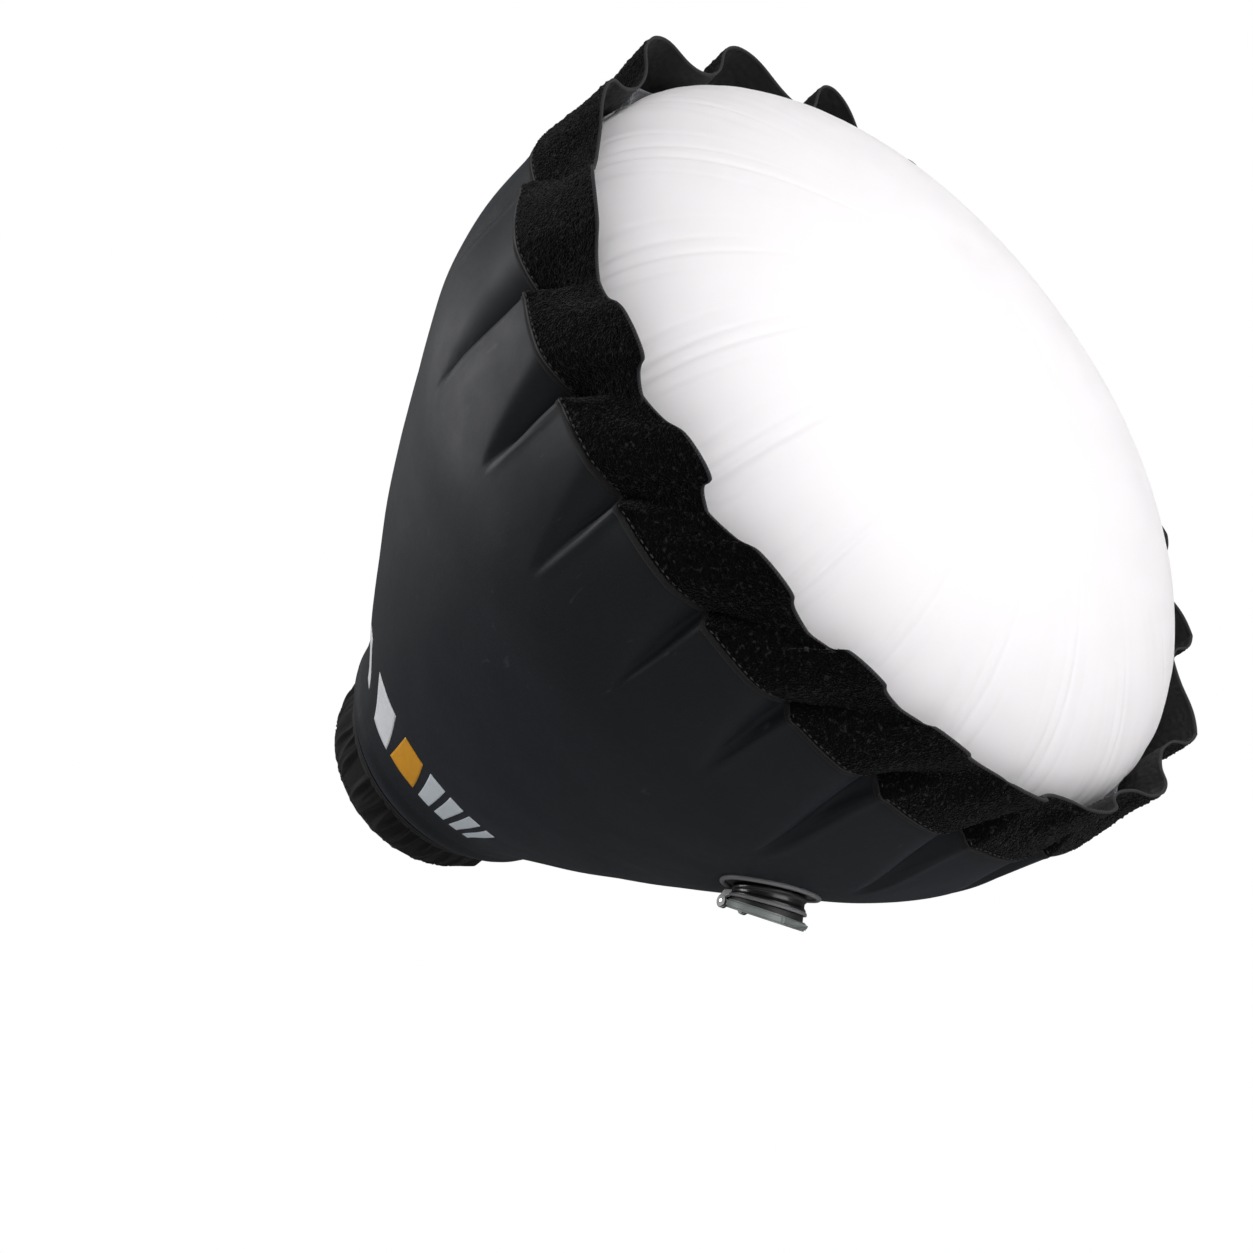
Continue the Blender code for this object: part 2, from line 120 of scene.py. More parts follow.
class Look:
    """A node material under construction: a Principled shader, with helpers that add and link nodes."""

    def __init__(self, name, colour, roughness, metallic=0.0, **sockets):
        self.material = bpy.data.materials.new(name)
        self.material.use_nodes = True
        self.material.diffuse_color = (*colour, 1.0)
        self.tree = self.material.node_tree
        self.shader = self.tree.nodes["Principled BSDF"]
        self.shader.inputs["Base Color"].default_value = (*colour, 1.0)
        self.shader.inputs["Roughness"].default_value = roughness
        self.shader.inputs["Metallic"].default_value = metallic
        for socket, value in sockets.items():
            self.shader.inputs[socket.replace("_", " ")].default_value = value
        self.normal = None

    def node(self, kind, values=None, **settings):
        made = self.tree.nodes.new(kind)
        for name, value in settings.items():
            setattr(made, name, value)
        for socket, value in (values or {}).items():
            if isinstance(value, bpy.types.NodeSocket):
                self.tree.links.new(value, made.inputs[socket])
            else:
                made.inputs[socket].default_value = value
        return made

    def place(self, scale=(1, 1, 1), source="Object"):
        coordinates = self.node("ShaderNodeTexCoord")
        mapping = self.node("ShaderNodeMapping", {"Vector": coordinates.outputs[source], "Scale": scale})
        return mapping.outputs["Vector"]

    def noise(self, scale, detail=3.0, roughness=0.55, place=None, distortion=0.0):
        made = self.node("ShaderNodeTexNoise", {
            "Scale": scale, "Detail": detail, "Roughness": roughness, "Distortion": distortion,
            "Vector": place or self.place(),
        })
        return made.outputs["Fac"]

    def voronoi(self, scale):
        made = self.node("ShaderNodeTexVoronoi", {"Scale": scale, "Vector": self.place()})
        return made.outputs["Distance"]

    def wave(self, scale, place, direction="X", distortion=0.0):
        made = self.node("ShaderNodeTexWave", {
            "Scale": scale, "Distortion": distortion, "Detail": 1.0, "Vector": place,
        }, bands_direction=direction)
        return made.outputs["Fac"]

    def times(self, first, second):
        return self.node("ShaderNodeMath", {0: first, 1: second}, operation="MULTIPLY").outputs[0]

    def stretch(self, value, low, high, to_low=0.0, to_high=1.0):
        made = self.node("ShaderNodeMapRange", {
            "Value": value, "From Min": low, "From Max": high, "To Min": to_low, "To Max": to_high,
        })
        return made.outputs["Result"]

    def mix(self, factor, first, second):
        made = self.node("ShaderNodeMix", data_type="RGBA")
        for index, value in ((0, factor), (6, first), (7, second)):
            if isinstance(value, bpy.types.NodeSocket):
                self.tree.links.new(value, made.inputs[index])
            else:
                made.inputs[index].default_value = value if index == 0 else (*value, 1.0)
        return made.outputs[2]

    def colour(self, value):
        self.tree.links.new(value, self.shader.inputs["Base Color"])

    def roughness(self, value, low, high):
        self.tree.links.new(self.stretch(value, 0.3, 0.7, low, high), self.shader.inputs["Roughness"])

    def bump(self, height, strength, distance):
        made = self.node("ShaderNodeBump", {"Strength": strength, "Distance": distance, "Height": height})
        if self.normal:
            self.tree.links.new(self.normal, made.inputs["Normal"])
        self.normal = made.outputs["Normal"]
        self.tree.links.new(self.normal, self.shader.inputs["Normal"])

    def weave(self, pitch, strength, distance):
        """Warp and weft: two crossed waves on the piece's own cloth coordinates, which are in metres."""
        place = self.place(source="UV")
        warp = self.wave(math.pi / (10 * pitch), place, "X")
        weft = self.wave(math.pi / (10 * pitch), place, "Y")
        crossed = self.times(warp, weft)
        self.bump(crossed, strength, distance)
        return crossed


def shell_cloth():
    look = Look("shell_cloth", (0.015, 0.017, 0.020), 0.56, Sheen_Weight=0.04, Sheen_Roughness=0.45,
                Specular_IOR_Level=0.19)
    look.shader.inputs["Sheen Tint"].default_value = (0.75, 0.82, 1.0, 1.0)
    cloudy = look.noise(9.0, 4.0)
    threads = look.weave(0.0006, 0.25, 0.0002)
    colour = look.mix(cloudy, (0.0062, 0.0074, 0.0096), (0.0102, 0.0120, 0.0150))
    scuffs = look.stretch(look.noise(140.0, 2.0, place=look.place((1, 0.35, 1))), 0.70, 0.78)
    colour = look.mix(look.times(scuffs, 0.35), colour, (0.060, 0.062, 0.068))
    look.colour(look.mix(look.times(threads, 0.35), colour, (0.006, 0.007, 0.0085)))
    look.roughness(look.noise(22.0, 3.0), 0.48, 0.62)
    look.bump(look.noise(34.0, 4.0, distortion=0.4), 0.20, 0.0016)
    look.bump(look.noise(420.0, 2.0), 0.12, 0.0003)
    return look.material


def mottled(name, colour, roughness, metallic, grain, shades, rough, relief, squeeze=(1, 1, 1), **sockets):
    """One noise sets the colour, the roughness and the relief. grain is its scale, detail and distortion."""
    look = Look(name, colour, roughness, metallic, **sockets)
    scale, detail, distortion = grain
    pattern = look.noise(scale, detail, place=look.place(squeeze), distortion=distortion)
    look.colour(look.mix(pattern, *shades))
    look.roughness(pattern, *rough)
    look.bump(pattern, *relief)
    return look.material


def diffuser_cloth():
    look = Look("diffuser_cloth", (0.91, 0.90, 0.905), 0.50, Subsurface_Weight=0.25, Subsurface_Scale=0.02,
                Subsurface_Radius=(0.6, 0.6, 0.6), Specular_IOR_Level=0.25)
    cloudy = look.noise(5.0, 3.0)
    look.colour(look.mix(cloudy, (0.90, 0.870, 0.888), (0.935, 0.915, 0.928)))
    look.roughness(look.noise(40.0, 2.0), 0.45, 0.58)
    look.weave(0.0005, 0.10, 0.0001)
    look.bump(look.noise(26.0, 3.0), 0.06, 0.0010)
    return look.material


def loop_pile():
    look = Look("loop_pile", (0.003, 0.003, 0.0034), 0.95, Sheen_Weight=0.06, Sheen_Roughness=0.30,
                Specular_IOR_Level=0.06)
    tufts = look.voronoi(850.0)
    curls = look.noise(520.0, 3.0, 0.7)
    # Paler specks over the loops are painted glints, where loop tops catch the light, laid into the colour all over
    # the ruffle.
    painted_glints = look.stretch(look.noise(400.0, 2.0, 0.6), 0.58, 0.72)
    colour = look.mix(curls, (0.0010, 0.0010, 0.0012), (0.0040, 0.0040, 0.0046))
    look.colour(look.mix(look.times(painted_glints, 0.9), colour, (0.026, 0.027, 0.030)))
    look.bump(tufts, 0.9, 0.0010)
    look.bump(curls, 0.9, 0.0012)
    return look.material


def tape_back():
    look = Look("tape_back", (0.012, 0.011, 0.0125), 0.78, Sheen_Weight=0.05, Sheen_Roughness=0.5,
                Specular_IOR_Level=0.2)
    threads = look.weave(0.0008, 0.45, 0.0003)
    cloudy = look.noise(30.0, 3.0)
    colour = look.mix(cloudy, (0.0095, 0.0088, 0.0098), (0.0165, 0.0155, 0.0170))
    look.colour(look.mix(look.times(threads, 0.4), colour, (0.006, 0.006, 0.0065)))
    look.roughness(cloudy, 0.70, 0.85)
    return look.material


def ribbed(name, colour, roughness, rib, shades, grain, rough, relief, **sockets):
    """Ribs set the colour and the relief. rib is their scale, what they follow, and their direction."""
    look = Look(name, colour, roughness, **sockets)
    scale, source, direction = rib
    ribs = look.wave(scale, look.place(source=source), direction)
    look.colour(look.mix(ribs, *shades))
    look.roughness(look.noise(grain), *rough)
    look.bump(ribs, *relief)
    return look.material


def shirred_cloth():
    look = Look("shirred_cloth", (0.009, 0.009, 0.0105), 0.80, Sheen_Weight=0.05, Sheen_Roughness=0.4,
                Specular_IOR_Level=0.15)
    ribs = look.wave(math.pi / (10 * 0.0012), look.place(source="UV"), "X", 0.6)
    cloudy = look.noise(60.0, 4.0)
    colour = look.mix(cloudy, (0.0060, 0.0060, 0.0068), (0.0160, 0.0160, 0.0180))
    look.colour(look.mix(look.times(ribs, 0.5), colour, (0.0035, 0.0035, 0.004)))
    look.roughness(cloudy, 0.72, 0.88)
    look.bump(ribs, 0.45, 0.0004)
    look.bump(look.noise(300.0, 2.0), 0.25, 0.0004)
    return look.material


def printed_ink(name, colour, dark):
    look = Look(name, colour, 0.38, Coat_Weight=0.15, Coat_Roughness=0.3)
    mottle = look.noise(260.0, 3.0)
    look.colour(look.mix(mottle, dark, colour))
    look.roughness(mottle, 0.32, 0.48)
    look.bump(look.noise(420.0, 2.0), 0.10, 0.0002)
    return look.material


def moulded(name, colour, roughness, worn, grain=700.0, **sockets):
    """Moulded plastic or rubber: fine grain, a little unevenness, and paler rubbed patches."""
    look = Look(name, colour, roughness, **sockets)
    rubbed = look.stretch(look.noise(70.0, 4.0, 0.65), 0.58, 0.74)
    look.colour(look.mix(look.times(rubbed, 0.55), colour, worn))
    look.roughness(look.noise(120.0, 3.0), roughness - 0.07, roughness + 0.09)
    look.bump(look.noise(grain, 2.0), 0.18, 0.0002)
    return look.material


def floor_paint():
    look = Look("floor_paint", (0.84, 0.84, 0.84), 0.85)
    look.colour(look.mix(look.noise(1.2), (0.83, 0.83, 0.83), (0.86, 0.86, 0.86)))
    return look.material


looks = {
    "shell": shell_cloth(),
    "silver": mottled("silver_film", (0.72, 0.73, 0.74), 0.28, 0.9, (60.0, 4.0, 0.8),
                      ((0.62, 0.63, 0.65), (0.78, 0.79, 0.80)), (0.22, 0.40), (0.35, 0.0015)),
    "diffuser": diffuser_cloth(),
    "clear": mottled("clear_film", (0.80, 0.83, 0.86), 0.12, 0.0, (90.0, 3.0, 0.6),
                     ((0.70, 0.73, 0.77), (0.88, 0.90, 0.92)), (0.08, 0.22), (0.20, 0.0008),
                     Transmission_Weight=0.85, IOR=1.45, Coat_Weight=0.4),
    "pile": loop_pile(),
    "tape_back": tape_back(),
    "selvedge": ribbed("selvedge", (0.022, 0.022, 0.024), 0.70, (math.pi / (10 * 0.0011), "UV", "X"),
                       ((0.014, 0.014, 0.0155), (0.032, 0.032, 0.035)), 80.0, (0.60, 0.78), (0.5, 0.0003),
                       Sheen_Weight=0.06, Sheen_Roughness=0.4, Specular_IOR_Level=0.2),
    "stitching": ribbed("stitching", (0.022, 0.022, 0.024), 0.60, (900.0, "Object", "DIAGONAL"),
                        ((0.012, 0.012, 0.013), (0.036, 0.036, 0.039)), 200.0, (0.5, 0.7), (0.4, 0.0002),
                        Specular_IOR_Level=0.3),
    "shirred": shirred_cloth(),
    "ink_white": printed_ink("ink_white", (0.95, 0.96, 0.98), (0.86, 0.88, 0.92)),
    "ink_pale": printed_ink("ink_pale", (0.82, 0.88, 0.93), (0.70, 0.77, 0.83)),
    "ink_orange": printed_ink("ink_orange", (0.92, 0.42, 0.012), (0.82, 0.36, 0.010)),
    "silicone": moulded("silicone", (0.016, 0.016, 0.017), 0.55, (0.040, 0.040, 0.042)),
    "hoop": moulded("hoop_plastic", (0.024, 0.024, 0.026), 0.45, (0.050, 0.050, 0.053)),
    "valve_black": moulded("valve_black", (0.010, 0.010, 0.011), 0.34, (0.030, 0.030, 0.032), Coat_Weight=0.2),
    # Pale grey: the stem and the weld edge, and the ring round the body's mouth, where it is a painted highlight.
    "valve_lip": moulded("valve_lip", (0.190, 0.190, 0.198), 0.40, (0.270, 0.270, 0.275)),
    "cap": moulded("cap_plastic", (0.240, 0.268, 0.258), 0.45, (0.320, 0.345, 0.335)),
    "steel": mottled("bright_steel", (0.62, 0.62, 0.61), 0.25, 1.0, (300.0, 2.0, 0.0),
                     ((0.52, 0.52, 0.52), (0.72, 0.72, 0.70)), (0.18, 0.34), (0.12, 0.0001), (0.05, 1, 1)),
    "floor": floor_paint(),
}


# ---- mesh helpers -----------------------------------------------------------------------------------------------

def add_piece(name, mesh, materials, body="chamber", stands_for=()):
    piece = bpy.data.objects.new(name, mesh)
    bpy.context.scene.collection.objects.link(piece)
    for key in [materials] if isinstance(materials, str) else materials:
        mesh.materials.append(looks[key])
    mesh.shade_smooth()
    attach(piece, body)
    if stands_for:
        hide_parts(*stands_for)
    return piece


def around(columns):
    """Even angles all the way round, in degrees from straight down towards -X, with the seam at the top."""
    return -180.0 + 360.0 * np.arange(columns) / columns


def on_axis(angle, radius, station):
    """Row-frame points at an angle round the light's axis, a radius and a station."""
    turn = np.radians(angle)
    return np.stack([-radius * np.sin(turn), -station + 0 * turn, -radius * np.cos(turn)], axis=-1)


def grid_mesh(name, points, cloth, closed=True, keep=None):
    """Quads over a rows x columns net of points. cloth holds each point's place on the flat cloth, in metres."""
    rows, columns = points.shape[:2]
    wrap = columns if closed else columns - 1
    corner = np.arange(rows * columns).reshape(rows, columns)
    low, high = corner[:-1], corner[1:]
    ahead = np.roll(corner, -1, axis=1)
    quads = np.stack([low[:, :wrap], ahead[:-1, :wrap], ahead[1:, :wrap], high[:, :wrap]], axis=-1).reshape(-1, 4)
    if keep is not None:
        quads = quads[keep[quads].all(axis=1)]
    mesh = bpy.data.meshes.new(name)
    mesh.from_pydata(points.reshape(-1, 3).tolist(), [], quads.tolist())
    layer = mesh.uv_layers.new(name="cloth")
    flat = cloth.reshape(-1, 2)
    around_all = flat[:, 0].max() - flat[:, 0].min()
    for polygon in mesh.polygons:
        first = flat[polygon.vertices[0], 0]
        for loop in polygon.loop_indices:
            across, along = flat[mesh.loops[loop].vertex_index]
            if closed and first - across > 0.5 * around_all:
                across += around_all * columns / (columns - 1)
            layer.data[loop].uv = (across, along)
    loose = bmesh.new()
    loose.from_mesh(mesh)
    bmesh.ops.delete(loose, geom=[v for v in loose.verts if not v.link_faces], context="VERTS")
    loose.to_mesh(mesh)
    loose.free()
    face_outwards(mesh)
    return mesh


def face_outwards(mesh):
    """Turns a cloth's faces to look away from the light's axis."""
    facing = sum(p.area * p.normal.dot(Vector((p.center.x, 0, p.center.z)).normalized()) for p in mesh.polygons)
    if facing < 0:
        mesh.flip_normals()


def thicken(piece, thickness, inner_material=0):
    """Gives a cloth its thickness inwards. The inner side may have the piece's next material."""
    solid = piece.modifiers.new("thickness", "SOLIDIFY")
    solid.thickness = thickness
    solid.offset = -1.0
    solid.material_offset = inner_material
    return piece


def round_noise_net(angle, count, along, seed=0.0):
    """Noise that closes on itself round the axis: about count bumps in a full turn."""
    turn = np.radians(angle)
    reach = count / math.tau
    flat = [
        noise.noise(Vector((reach * math.cos(a) + 13.7 * seed, reach * math.sin(a) - 7.1 * seed, b + 3.3 * seed)))
        for a, b in zip(turn.ravel(), along.ravel())
    ]
    return np.array(flat).reshape(angle.shape)


def add_cloth(name, points, angle, girth, along, materials, thickness, stands_for, keep=None, inner=0):
    """A thickened cloth over a net of points. Laid flat, each radian of it is girth wide, and along is its depth."""
    cloth = np.stack([np.radians(angle) * girth, along], axis=-1)
    mesh = grid_mesh(name, points, cloth, keep=keep)
    return thicken(add_piece(name, mesh, materials, stands_for=[stands_for]), thickness, inner)


def lowest_beside(radius, reach):
    """The least of each radius and its neighbours, up to reach columns away on a closed net."""
    lowest = radius
    for step in range(1, reach + 1):
        lowest = np.minimum(lowest, np.minimum(np.roll(radius, step, axis=1), np.roll(radius, -step, axis=1)))
    return lowest


def smooth_step(share):
    return share * share * (3 - 2 * share)


# ---- the shape that the cloth pieces share ----------------------------------------------------------------------

def shell_radius(station):
    """The plain cone's outer radius, from its outline's points joined by a smooth curve."""
    along = np.clip(np.asarray(station, float) - SHOULDER, 0.0, SHELL_LENGTH)
    place = np.array([point[0] for point in SHELL_OUTLINE])
    radius = np.array([point[1] for point in SHELL_OUTLINE])
    slope = np.gradient(radius, place)
    index = np.clip(np.searchsorted(place, along, side="right") - 1, 0, len(place) - 2)
    span = place[index + 1] - place[index]
    t = (along - place[index]) / span
    return (
        (2 * t**3 - 3 * t**2 + 1) * radius[index] + (t**3 - 2 * t**2 + t) * span * slope[index]
        + (3 * t**2 - 2 * t**3) * radius[index + 1] + (t**3 - t**2) * span * slope[index + 1]
    )


def wave_phase(angle):
    """Which wave an angle is in, as a whole number and a share. A crease runs where the share is 0."""
    places = np.array(CREASE_ANGLES + (CREASE_ANGLES[0] + 360.0,))
    turns = np.floor((angle - places[0]) / 360.0)
    return np.interp(angle - 360.0 * turns, places, np.arange(WAVES + 1)) + WAVES * turns


def near(angle, middle, spread):
    """1 at an angle, and falling away smoothly to 0 on both sides of it."""
    return np.exp(-(((angle - middle + 180.0) % 360.0 - 180.0) / spread) ** 2)


def rim_station(angle):
    """The rim seam isn't quite in one plane."""
    return RIM + SEAM_DRIFT * near(angle, 30.0, 42.0)


def crease(phase, roll=FOLD_ROLL):
    """1 in a crease and 0 on the pillow: the cloth rolls in from above, and stands up as a lip below."""
    share = phase - np.floor(phase)
    upper = np.clip(1 - share / roll, 0, 1) ** 1.8
    return np.maximum(upper, smooth_step(np.clip(1 - (1 - share) / FOLD_STEP, 0, 1)))


def lip(phase):
    """The crisp ridge along the lower side of each crease."""
    share = phase - np.floor(phase)
    return np.exp(-((1 - share - 1.5 * FOLD_STEP) / (0.75 * FOLD_STEP)) ** 2)


def uneven_depth(angle):
    turn = np.radians(angle)
    return 1 + 0.20 * np.sin(5 * turn + 1.0) + 0.14 * np.sin(11 * turn)


def crease_fade(angle, station):
    """1 at the rim seam, falling to 0 at the creases' pointed rear ends."""
    turn = np.radians(angle)
    length = FOLD_LENGTH * (1 + 0.14 * np.sin(4 * turn + 1.3) + 0.12 * np.sin(9 * turn + 0.5))
    return np.clip(1 - (rim_station(angle) - station) / length, 0, 1)


def pinch(angle, station):
    """How far the creases pull the shell in from the plain cone, less how far it pillows out between them."""
    fade = crease_fade(angle, station)
    phase = wave_phase(angle) + 0.05 * (1 - fade)
    folded = crease(phase, np.maximum(FOLD_ROLL * fade**0.75, 0.03))
    share = phase - np.floor(phase)
    swell = 0.0030 * fade**1.3 * np.sin(math.pi * share) + 0.0011 * fade**0.6 * lip(phase)
    return FOLD_DEPTH * uneven_depth(angle) * fade**0.8 * folded - swell


def shell_surface(angle, station):
    settled = np.clip((station - SHOULDER) / 0.05, 0, 1)
    ripple = 0.0016 * round_noise_net(angle, 9, 9.0 * station, 1.0)
    ripple = ripple + 0.0006 * round_noise_net(angle, 44, 30.0 * station, 2.0)
    along = station - SHOULDER
    roll = 0.0030 * np.sin(math.pi * np.clip(along / 0.026, 0, 1)) - 0.0022 * np.exp(-((along / 0.0022) ** 2))
    return shell_radius(station) - pinch(angle, station) + ripple * settled + roll


def band_surface(angle, share):
    """The ruffle: share is 0 at its stitched rear edge and 1 at its free front edge."""
    seam = rim_station(angle)
    slant = BAND_SKEW * near(angle, 35.0, 75.0) * share
    phase = wave_phase(angle + slant)
    turn = np.radians(angle)
    part = phase - np.floor(phase)
    # The free edge's waves are scallops with sharp notches on the -X side, and pointed on the far side.
    pointed = 0.10 + 0.50 * near(angle, -75.0, 45.0)
    scalloped = 0.80 * near(angle, 45.0, 60.0)
    rounded_wave = np.sin(math.pi * part) ** (2 - 1.2 * scalloped)
    pointed_wave = 1 - np.abs(2 * part - 1)
    crest = rounded_wave * (1 - pointed) + pointed_wave * pointed
    height = BAND_WAVE * (1 - 0.65 * near(angle, 40.0, 60.0)) + BAND_LOOSER * near(angle, LOOSE_ANGLE, 58.0)
    height = height * (1 + 0.08 * np.sin(8 * turn + 2.2))
    loose = smooth_step(np.clip(share / 0.75, 0, 1))
    rear = shell_radius(seam) - pinch(angle + slant, seam) + 0.0010
    front = BAND_VALLEY_RADIUS + 0.0095 * near(angle, 40.0, 60.0) + 2 * height * crest
    radius = rear * (1 - loose) + front * loose
    # Crests lean round to one side or the other, so that some folds hang over.
    lean = round_noise_net(angle, 13, 0 * angle + 2.0, 5.0)
    swing = 3.5 * lean * (crest - 0.4) + (0.85 - 0.5 * near(angle, LOOSE_ANGLE, 70.0)) * np.sin(2 * math.tau * part)
    sag = 0.0040 * round_noise_net(angle, 17, 0 * angle + 4.0, 5.0)
    width = BAND_WIDTH - 0.0110 * near(angle, 35.0, 62.0)
    notch = (0.0040 + 0.0115 * near(angle, 66.0, 52.0)) * (1 - crest)
    station = seam - 0.0010 + (width + sag - notch) * share
    return angle + swing * loose, radius, station


def within_band(angle, station, gap, reach=9):
    """The widest radius that clears the ruffle from inside, at each place of a closed net."""
    share = np.clip((station - rim_station(angle)) / BAND_WIDTH, 0, 1)
    return lowest_beside(band_surface(angle, share)[1], reach) - gap


def dome_pull(angle, above_seam):
    """How far the rim seam's creases pull the foot of the dome in."""
    depth = FOLD_DEPTH * uneven_depth(angle) + 0.0010
    return depth * crease(wave_phase(angle)) * np.exp(-(above_seam / 0.022) ** 2)


# ---- the chamber ------------------------------------------------------------------------------------------------

def cone_net(columns, rows, rear, inset=0.0):
    """Angles and stations over the cone, closer together towards the rim, where the creases are."""
    angle, share = np.meshgrid(around(columns), np.linspace(0, 1, rows))
    front = rim_station(angle) - inset
    crowd = 1 - (1 - share) ** 1.5
    return angle, rear + (front - rear) * (crowd - 0.9 * share * (1 - share) ** 9)


def valve_reach(points):
    """Each point's place across the valve, its distance from the valve's axis, and whether it is on that side."""
    local = (points - np.array(VALVE_PLACE)) @ np.array(VALVE_TURN)
    return local[..., :2], np.hypot(local[..., 0], local[..., 1]), local[..., 2] > -0.05


def make_shell():
    angle, station = cone_net(WAVES * 32, 124, SHOULDER + 0.0004)
    radius = shell_surface(angle, station)
    points = on_axis(angle, radius, station)
    local, reach, beside = valve_reach(points)
    hole, step = 0.0210, 0.0045
    push = np.where(beside & (reach < hole) & (reach > hole - step), hole / np.maximum(reach, 1e-6), 1.0)
    points = points + (local * (push - 1)[..., None]) @ np.array([VALVE_SIDE, VALVE_ALONG])
    keep = ~(beside & (reach < hole - step)).ravel()
    shell = add_cloth("shell_skin", points, angle, RIM_RADIUS * 0.7, station, "shell", 0.0007, "rear_shell",
                      keep)

    angle, station = cone_net(WAVES * 20, 48, SHOULDER + 0.004, 0.002)
    # The lining hangs a little inside the deepest points of the shell beside it.
    points = on_axis(angle, lowest_beside(shell_surface(angle, station), 5) - 0.0030, station)
    _, reach, beside = valve_reach(points)
    lining = add_cloth("silver_lining", points, angle, RIM_RADIUS * 0.7, station, "silver", 0.0004,
                       "reflective_lining", ~(beside & (reach < 0.0225)).ravel())
    return shell, lining


def make_dome():
    columns, rows = WAVES * 60, 90
    # From the skirt's edge at the rim seam, over the foot, to the middle of the dome.
    skirt = np.array(DOME_SKIRT)
    lift = np.linspace(0, math.pi / 2, rows - len(skirt) + 1)[:-1]
    profile_radius = np.concatenate([skirt[:, 1], DOME_FOOT_RADIUS * np.cos(lift)])
    profile_station = np.concatenate([skirt[:, 0], DOME_FOOT + DOME_HEIGHT * np.sin(lift)])
    angle, radius = np.meshgrid(around(columns), profile_radius)
    station = np.repeat(profile_station[:, None], columns, axis=1)
    foot = len(skirt) - 1
    steps = np.hypot(np.diff(profile_radius[foot:]), np.diff(profile_station[foot:]))
    from_foot = np.concatenate([np.zeros(foot + 1), steps.cumsum()])[:, None] + 0 * angle
    above_seam = (profile_station - RIM)[:, None] + 0 * angle
    station = station + (rim_station(angle) - RIM) * np.exp(-above_seam / 0.012)
    phase = wave_phase(angle + 0.5 * BAND_SKEW * near(angle, 35.0, 75.0))
    pulled = dome_pull(angle, above_seam)
    # Narrow ridges run up from each crease of the seam, and finer gathers run up between them.
    drift = phase + 0.9 * from_foot * round_noise_net(angle, 20, 0 * angle, 7.0)
    beside = drift - np.round(drift)
    vary = 1 + 0.7 * round_noise_net(angle, 17, 0 * angle + 5.0, 3.0)
    ridges = 0
    for offset, height, width, reach in ((-0.15, 0.7, 0.030, 0.055), (-0.02, 1.3, 0.030, 0.085),
                                         (0.08, 1.0, 0.028, 0.068), (0.22, 0.5, 0.034, 0.058)):
        lean = offset * (1 + 6.0 * from_foot)
        ridges = ridges + height * np.exp(-((beside - lean) / width) ** 2 - (from_foot / (reach * vary)) ** 2.4)
    fine = round_noise_net(angle, 120, 16.0 * from_foot, 3.0)
    wrinkle = 0.0016 * ridges + 0.0014 * fine * np.exp(-((from_foot / 0.075) ** 1.6))
    wrinkle = wrinkle * np.clip(from_foot / 0.006, 0.25, 1)
    soft = 0.0014 * round_noise_net(angle, 7, 7.0 * radius, 4.0) * np.clip(from_foot / 0.05, 0, 1)
    outward = np.sin(np.arctan2(radius / DOME_FOOT_RADIUS**2, np.maximum(station - DOME_FOOT, 0) / DOME_HEIGHT**2))
    radius = np.minimum(radius - pulled - wrinkle * outward, within_band(angle, station, 0.0034))
    station = station - wrinkle * (1 - outward) + soft
    points = on_axis(angle, radius, station)
    cloth = np.stack([np.radians(angle) * DOME_FOOT_RADIUS, from_foot], axis=-1)
    mesh = grid_mesh("diffuser_dome", points, cloth)
    crown = bmesh.new()
    crown.from_mesh(mesh)
    last = [e for e in crown.edges if e.is_boundary and e.verts[0].co.y < -DOME_FOOT - 0.5 * DOME_HEIGHT]
    middle = crown.verts.new((0, -(DOME_FOOT + DOME_HEIGHT), 0))
    for edge in last:
        crown.faces.new((edge.verts[0], edge.verts[1], middle))
    bmesh.ops.recalc_face_normals(crown, faces=crown.faces)
    crown.to_mesh(mesh)
    crown.free()
    face_outwards(mesh)
    dome = add_piece("diffuser_dome", mesh, "diffuser", stands_for=["front_diffuser"])
    thicken(dome, 0.0006)
    return dome


def make_band():
    columns, rows = WAVES * 62, 46
    angle, share = np.meshgrid(around(columns), np.linspace(0, 1, rows))
    turned, radius, station = band_surface(angle, share)
    along = BAND_WIDTH * share
    pile = 0.0009 * round_noise_net(angle, 800, 560.0 * along, 6.0)
    pile = pile + 0.0006 * round_noise_net(angle, 1300, 900.0 * along, 7.0)
    piled = np.minimum(share, 1 - share) * BAND_WIDTH > 0.0016
    points = on_axis(turned, radius + (pile + 0.0004) * piled, station)
    band = add_cloth("loop_ruffle", points, angle, RIM_RADIUS, along, ["pile", "tape_back", "selvedge", "selvedge"],
                     0.0013, "loop_band", inner=1)
    for polygon in band.data.polygons:
        if polygon.index // columns in (0, rows - 2):
            polygon.material_index = 2
    band.modifiers["thickness"].material_offset_rim = 1
    return band


def make_stitches(name, count, place, length=0.0030):
    """A run of short raised threads. place(turn) gives a point and the way the thread runs, at an angle."""
    made = bmesh.new()
    for index in range(count):
        at, along, out = place(-180.0 + 360.0 * (index + 0.5) / count)
        across = out.cross(along).normalized()
        turn = Matrix((along, across, out)).transposed().to_4x4()
        size = Matrix.Diagonal((length / 2, STITCH_THICKNESS, STITCH_THICKNESS, 1.0))
        bmesh.ops.create_icosphere(made, subdivisions=1, radius=1.0, matrix=Matrix.Translation(at) @ turn @ size)
    mesh = bpy.data.meshes.new(name)
    made.to_mesh(mesh)
    made.free()
    add_piece(name, mesh, "stitching")


def band_stitch(angle):
    here = np.array([angle])
    share = np.array([0.055])

    def point(turn):
        turned, radius, station = band_surface(turn, share)
        return Vector(on_axis(turned, radius + 0.0006, station)[0])

    at, ahead = point(here), point(here + 0.15)
    along = (ahead - at).normalized()
    out = Vector((at.x, 0, at.z)).normalized()
    out = (out - along * out.dot(along)).normalized()
    return at, along, out


